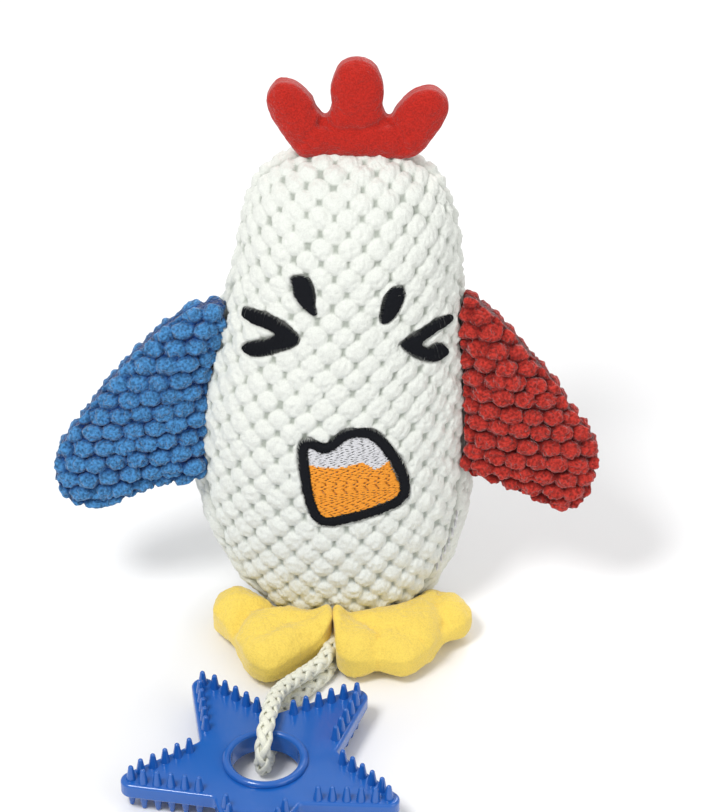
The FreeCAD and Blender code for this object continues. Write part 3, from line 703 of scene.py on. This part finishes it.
def make_rope():
    """A soft braid of flat strands that go over and under each other round a core."""
    route = rope_line()
    count = 420
    line = spread_along(route, count)
    side, up = carried_frames(line)
    length = np.linalg.norm(np.diff(line, axis=0), axis=1).sum()
    s = np.linspace(0, length, count)
    pitch, strands = 21.0, 3
    reach, weave = 2.35, 0.26
    lines, radii, ups = [line], [np.full(count, 2.6)], [up]
    for way in (1, -1):
        for strand in range(strands):
            angle = way * 2 * math.pi * s / pitch + strand * 2 * math.pi / strands
            out = reach + way * weave * np.cos(2 * strands * math.pi * s / pitch)
            outward = np.cos(angle)[:, None] * side + np.sin(angle)[:, None] * up
            lines.append(line + out[:, None] * outward)
            fuzz = 0.04 * np.sin(s * 5.1 + strand * 2 + way)
            radii.append(np.full(count, 1.45) + fuzz)
            ups.append(outward)
    obj = tubes("rope_braid", lines, radii, sides=8, flatten=0.55, ups=ups)
    dress(obj, MATERIALS["rope"])
    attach(obj, "rope")
    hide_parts("rope_loop")


# ---------------------------------------------------------------- materials
def cloth_material(name, gap_shade, top, rough=0.95, sheen=0.35, bump_size=0.0006, bump=0.25, mottle_and_hollow_shade=0.12):
    """Soft cloth: the colour goes from the first colour, painted shade for the gaps between lumps and for
    seams and folds, to the lump's top, with the mesh's own pile value.
    """
    material = bpy.data.materials.new(name)
    material.use_nodes = True
    nodes, links = material.node_tree.nodes, material.node_tree.links
    shader = nodes["Principled BSDF"]
    pile = nodes.new("ShaderNodeAttribute")
    pile.attribute_name = "pile"
    ramp = nodes.new("ShaderNodeValToRGB")
    ramp.color_ramp.elements[0].color = (*gap_shade, 1)
    ramp.color_ramp.elements[1].color = (*top, 1)
    ramp.color_ramp.elements[1].position = 0.5
    links.new(pile.outputs["Fac"], ramp.inputs["Fac"])
    place = nodes.new("ShaderNodeTexCoord")
    fine = nodes.new("ShaderNodeTexNoise")
    fine.inputs["Scale"].default_value = 1 / bump_size
    fine.inputs["Detail"].default_value = 4
    links.new(place.outputs["Object"], fine.inputs["Vector"])
    # Painted shade mixed with random tone: the noise that makes the bump also darkens the colour where the
    # bump is low.
    depth = nodes.new("ShaderNodeMapRange")
    depth.inputs["From Min"].default_value = 0.36
    depth.inputs["From Max"].default_value = 0.62
    depth.inputs["To Min"].default_value = 1 - mottle_and_hollow_shade
    links.new(fine.outputs["Fac"], depth.inputs["Value"])
    mix = nodes.new("ShaderNodeMix")
    mix.data_type = "RGBA"
    mix.blend_type = "MULTIPLY"
    mix.inputs["Factor"].default_value = 1.0
    links.new(ramp.outputs["Color"], mix.inputs["A"])
    links.new(depth.outputs["Result"], mix.inputs["B"])
    links.new(mix.outputs["Result"], shader.inputs["Base Color"])
    relief = nodes.new("ShaderNodeBump")
    relief.inputs["Strength"].default_value = bump
    relief.inputs["Distance"].default_value = bump_size
    links.new(fine.outputs["Fac"], relief.inputs["Height"])
    links.new(relief.outputs["Normal"], shader.inputs["Normal"])
    shader.inputs["Roughness"].default_value = rough
    shader.inputs["Specular IOR Level"].default_value = 0.15
    shader.inputs["Sheen Weight"].default_value = sheen
    shader.inputs["Sheen Roughness"].default_value = 0.4
    return material


def plain_material(name, colour, rough, specular=0.5, coat=0.0, sheen=0.0):
    """An even surface, such as thread, rubber or plastic."""
    material = bpy.data.materials.new(name)
    material.use_nodes = True
    shader = material.node_tree.nodes["Principled BSDF"]
    shader.inputs["Base Color"].default_value = (*colour, 1)
    shader.inputs["Roughness"].default_value = rough
    shader.inputs["Specular IOR Level"].default_value = specular
    shader.inputs["Coat Weight"].default_value = coat
    shader.inputs["Coat Roughness"].default_value = 0.08
    shader.inputs["Sheen Weight"].default_value = sheen
    return material


# Painted shade: in each cloth material the first colour is the darker one that the pile value draws into the
# gaps between kernels and into seams and folds, for pieces that carry a pile value.
MATERIALS = {
    "white_plush": cloth_material("white_plush", (0.41, 0.44, 0.39), (0.76, 0.78, 0.73), sheen=0.2,
                                  bump=0.6, mottle_and_hollow_shade=0.08),
    "blue_plush": cloth_material("blue_plush", (0.006, 0.04, 0.19), (0.075, 0.28, 0.60), bump=1.0,
                                 bump_size=0.0011, mottle_and_hollow_shade=0.6),
    "red_plush": cloth_material("red_plush", (0.13, 0.004, 0.004), (0.58, 0.042, 0.030), bump=1.0,
                                bump_size=0.0011, mottle_and_hollow_shade=0.6),
    "red_pile": cloth_material("red_pile", (0.20, 0.006, 0.005), (0.50, 0.022, 0.014), bump=0.9,
                               mottle_and_hollow_shade=0.3),
    "yellow_pile": cloth_material("yellow_pile", (0.84, 0.40, 0.03), (0.92, 0.68, 0.13), sheen=0.4,
                                  bump=0.8, mottle_and_hollow_shade=0.12),
    "stuffing": plain_material("stuffing", (0.86, 0.86, 0.84), 1.0, sheen=0.3),
    "black_thread": plain_material("black_thread", (0.009, 0.010, 0.013), 0.85, specular=0.12),
    "white_thread": plain_material("white_thread", (0.66, 0.66, 0.68), 0.7, specular=0.2),
    "orange_thread": plain_material("orange_thread", (0.83, 0.33, 0.035), 0.65, specular=0.2),
    "rope": cloth_material("rope", (0.83, 0.83, 0.70), (0.88, 0.88, 0.76), sheen=0.3,
                           bump_size=0.0004, bump=0.6),
    "blue_tpr": plain_material("blue_tpr", (0.007, 0.105, 0.43), 0.24, specular=0.5, coat=0.5),
    "squeaker_plastic": plain_material("squeaker_plastic", (0.82, 0.82, 0.80), 0.45),
    "squeaker_reed_plastic": plain_material("squeaker_reed_plastic", (0.88, 0.88, 0.88), 0.35),
}


def dress(obj, material):
    """Gives a made piece its material."""
    obj.data.materials.clear()
    obj.data.materials.append(material)


def make_ring_lip():
    """The rounded lip that stands round the star's hole."""
    round_, across = np.meshgrid(np.linspace(0, 2 * math.pi, 128, endpoint=False),
                                 np.linspace(0, 2 * math.pi, 24), indexing="xy")
    out = LIP_RADIUS + LIP_HALF_WIDTH * np.cos(across)
    points = np.stack([STAR_CENTRE[0] + out * np.cos(round_), STAR_CENTRE[1] + out * np.sin(round_),
                       LIP_HEIGHT + LIP_HALF_WIDTH * np.sin(across)], axis=-1)
    obj = mesh_object("star_ring_lip", points.reshape(-1, 3), grid_faces(24, 128, True))
    dress(obj, MATERIALS["blue_tpr"])
    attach(obj, "star")


def dress_cad_nodes():
    """Puts this file's materials in the slots of the CAD nodes that are shown as they are."""
    slot_of = {m["slot"]: m["slot"] for m in frame["record"]["materials"]}
    for obj in frame["nodes"].values():
        for place in obj.material_slots:
            name = place.material.name.split(".")[0] if place.material else ""
            if name in slot_of:
                place.material = MATERIALS[name]


# ---------------------------------------------------------------- building
def make_body():
    front = make_body_skin("body_front_skin", True, 330, 250, 1)
    back = make_body_skin("body_back_skin", False, 330, 290, 2)
    base = make_body_base()
    for obj in (front, back, base):
        dress(obj, MATERIALS["white_plush"])
        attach(obj, "body")
    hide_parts("body_front_panel")
    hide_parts("body_back_panel", "body_stuffing")


def panel_pair(limb, pieces, nodes, outline, hubs, sizes, place, finish, slot, bend, columns, rings):
    """The two cloth panels of a limb, sewn together along their edge.

    sizes is the thickness of each panel's side, doubled, and how wide its edge is rounded; bend is not used.
    """
    *thicknesses, round_width = sizes
    stuffing = limb + "_stuffing"
    for side, thickness, piece, node in zip((1, -1), thicknesses, pieces, nodes):
        obj = make_panel(f"{limb}_{piece}", outline, hubs, thickness, round_width, side, place, finish,
                         columns, rings)
        dress(obj, MATERIALS[slot])
        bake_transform(obj)
        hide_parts(f"{limb}_{node}", stuffing)


def make_limbs():
    """The comb, the wings and the feet."""
    panels = (("front_skin", "back_skin"), ("front_panel", "back_panel"))
    edge, hubs = [seam_outline(points) for points in zip(*COMB_EDGE)]
    folds = [(seam_outline(line), depth, width) for line, depth, width in COMB_FOLDS]
    panel_pair("comb", *panels, edge, hubs, (15.5, 14, 9.0), on_seam_plane, plush_finish(5, folds),
               "red_pile", ((0.0075, 0.0280, 0.1930), (0.0075, 0.0295, 0.2000)), 420, 70)
    for side, outline, hub, slot, seed, reach in (
            ("blue_wing", BLUE_WING_OUTLINE, (-78, 86), "blue_plush", 7, -1),
            ("red_wing", RED_WING_OUTLINE, (74, 86), "red_plush", 9, 1)):
        finish = kernel_finish(-7 * reach, seed, pitch=8.4, row=6.3, radius=4.9, height=3.0, squat=0.74)
        bend = ((reach * 0.049, 0.0, 0.1), (reach * 0.062, 0.0, 0.1))
        panel_pair(side, *panels, seam_outline(outline), seam_outline([hub]) * len(outline),
                   (18, 18, 24.0), on_seam_plane, finish, slot, bend, 400, 86)
    for side, outline, hub, folds, start, end in (
            ("left_foot", LEFT_FOOT_OUTLINE, (-30, -38), LEFT_FOLDS,
             (-0.014, -0.018, 0.011), (-0.022, -0.036, 0.011)),
            ("right_foot", RIGHT_FOOT_OUTLINE, (28, -40), RIGHT_FOLDS,
             (0.016, -0.018, 0.011), (0.024, -0.038, 0.011))):
        panel_pair(side, ("upper_skin", "sole_skin"), ("upper", "sole"), outline, [hub] * len(outline),
                   (22, 16, 12.0), on_floor_plane, plush_finish(11, folds), "yellow_pile", (start, end),
                   360, 80)


def on_floor_plane(p, q, h):
    """A point from its place on the floor and its height above the feet's middle, arched over the rope."""
    arch = FOOT_ARCH * np.exp(-(p / 5.0) ** 2) * smooth(-56.0, -49.0, q)
    return np.stack([p + 0 * h, q + 0 * h, FOOT_MIDDLE + arch + h], axis=-1)


# ---------------------------------------------------------------- floor, light and camera
def area_light(name, place, aim, size, power, colour=(1, 1, 1)):
    data = bpy.data.lights.new(name, "AREA")
    data.shape = "DISK"
    data.size = size
    data.energy = power
    data.color = colour
    obj = bpy.data.objects.new(name, data)
    obj.location = place
    obj.rotation_euler = (Vector(aim) - Vector(place)).to_track_quat("-Z", "Y").to_euler()
    bpy.context.scene.collection.objects.link(obj)


def make_stage():
    scene = bpy.context.scene
    mesh = bpy.data.meshes.new("floor")
    mesh.from_pydata([(-4, -4, 0), (4, -4, 0), (4, 4, 0), (-4, 4, 0)], [], [[0, 1, 2, 3]])
    floor = bpy.data.objects.new("floor", mesh)
    scene.collection.objects.link(floor)
    mesh.materials.append(plain_material("pale_floor", (0.86, 0.86, 0.865), 0.9, specular=0.1))
    world = bpy.data.worlds.new("studio")
    world.use_nodes = True
    world.node_tree.nodes["Background"].inputs["Color"].default_value = (1, 1, 1, 1)
    world.node_tree.nodes["Background"].inputs["Strength"].default_value = 0.62
    scene.world = world
    aim = (0.0, 0.0, 0.1)
    area_light("key", (-0.55, -0.6, 1.3), aim, 0.45, 13)
    area_light("fill", (0.9, -0.7, 0.7), aim, 0.9, 3)
    area_light("rim", (0.3, 0.9, 1.0), aim, 0.6, 6)
    scene.view_settings.view_transform = "Standard"


def make_camera():
    data = bpy.data.cameras.new("photo_camera")
    data.lens = 162.2
    data.sensor_width = 36
    camera = bpy.data.objects.new("photo_camera", data)
    camera.location = (0.0117, -1.1690, 0.9429)
    elevation = math.radians(36)
    camera.rotation_euler = (math.pi / 2 - elevation, 0, 0)
    data.clip_start, data.clip_end = 0.05, 20
    bpy.context.scene.collection.objects.link(camera)
    bpy.context.scene.camera = camera


make_body()
make_limbs()
make_face()
make_rope()
make_ring_lip()
dress_cad_nodes()
make_stage()
make_camera()
